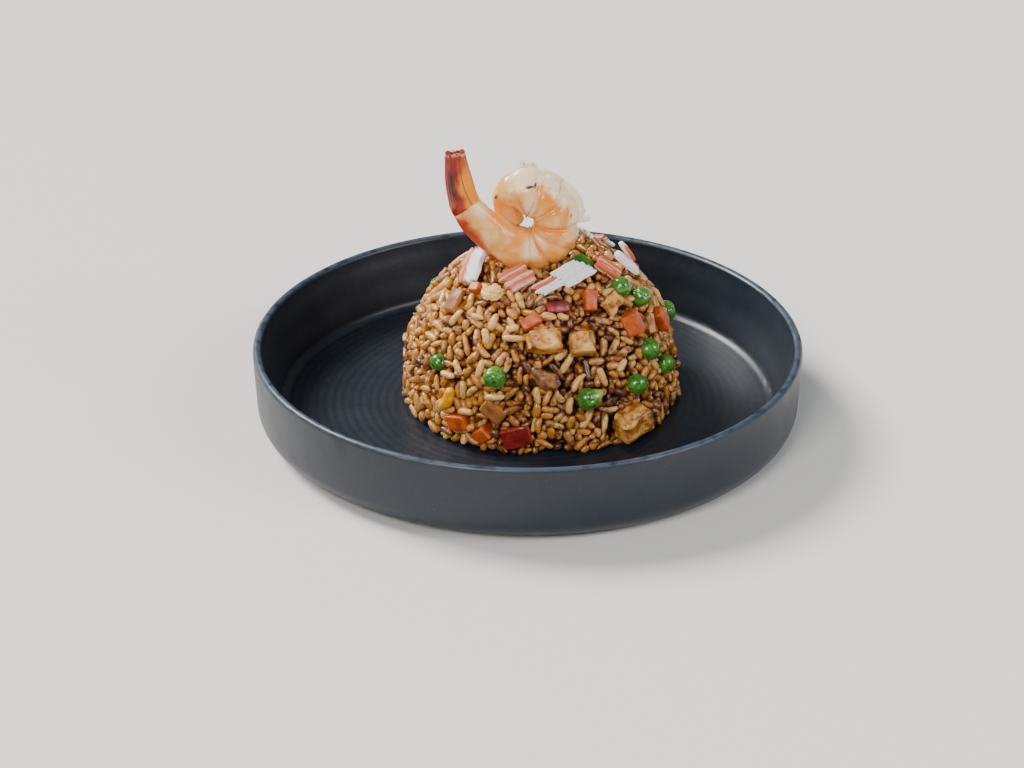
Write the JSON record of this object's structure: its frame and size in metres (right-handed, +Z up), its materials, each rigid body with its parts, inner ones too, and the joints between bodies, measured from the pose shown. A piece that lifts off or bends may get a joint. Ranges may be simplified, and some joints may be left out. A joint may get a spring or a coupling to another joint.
{
  "type": "fried rice",
  "caption": "Moulded dome of fried rice with diced vegetables, chicken and crab stick flakes, a curled prawn standing on top, on a dark walled stoneware plate.",
  "frame": {"origin": "on the table, under the middle of the plate", "axes": "+Z up; the front of the dish, seen in the picture, faces -Y; the prawn's tail is towards -X"},
  "size_m": [0.2, 0.2, 0.1063],
  "materials": {
    "stoneware": "dark blue-black semi-matt glaze, worn paler on the lip",
    "rice": "moist rice browned by sauce, stands in for cooked food",
    "prawn_flesh": "moist cooked prawn flesh, pale pink with orange in the creases",
    "prawn_shell": "glossy red-orange cooked shell",
    "pea": "wrinkled glossy cooked pea",
    "carrot": "moist diced carrot",
    "chicken": "seared chicken, pale inside, brown on the outside",
    "corn": "glossy sweet corn",
    "crab_stick": "white fibrous flake with orange-red skin",
    "onion": "translucent browned onion",
    "red_pepper": "glossy red pepper skin",
    "green_pepper": "glossy green pepper skin",
    "egg": "scrambled egg curd"
  },
  "bodies": {
    "root": {"prawn_body": "prawn_flesh", "prawn_tail": "prawn_shell", "pea_1": "pea", "pea_2": "pea", "pea_3": "pea", "pea_4": "pea", "pea_5": "pea", "pea_6": "pea", "pea_7": "pea", "pea_8": "pea", "pea_9": "pea", "pea_10": "pea", "pea_11": "pea", "pea_12": "pea", "carrot_1": "carrot", "carrot_2": "carrot", "carrot_3": "carrot", "carrot_4": "carrot", "carrot_5": "carrot", "carrot_6": "carrot", "carrot_7": "carrot", "carrot_8": "carrot", "carrot_9": "carrot", "chicken_1": "chicken", "chicken_2": "chicken", "chicken_3": "chicken", "chicken_4": "chicken", "chicken_5": "chicken", "chicken_6": "chicken", "chicken_7": "chicken", "chicken_8": "chicken", "chicken_9": "chicken", "red_pepper_1": "red_pepper", "red_pepper_2": "red_pepper", "red_pepper_3": "red_pepper", "onion_1": "onion", "onion_2": "onion", "green_pepper": "green_pepper", "corn_1": "corn", "corn_2": "corn", "egg": "egg", "crab_flake_1": "crab_stick", "crab_flake_2": "crab_stick", "crab_flake_3": "crab_stick", "crab_flake_4": "crab_stick", "crab_flake_5": "crab_stick", "crab_flake_6": "crab_stick", "crab_flake_7": "crab_stick", "crab_flake_8": "crab_stick", "crab_flake_9": "crab_stick", "crab_flake_10": "crab_stick", "crab_flake_11": "crab_stick", "crab_flake_12": "crab_stick", "rice": "rice", "plate": "stoneware"}
  },
  "joints": []
}
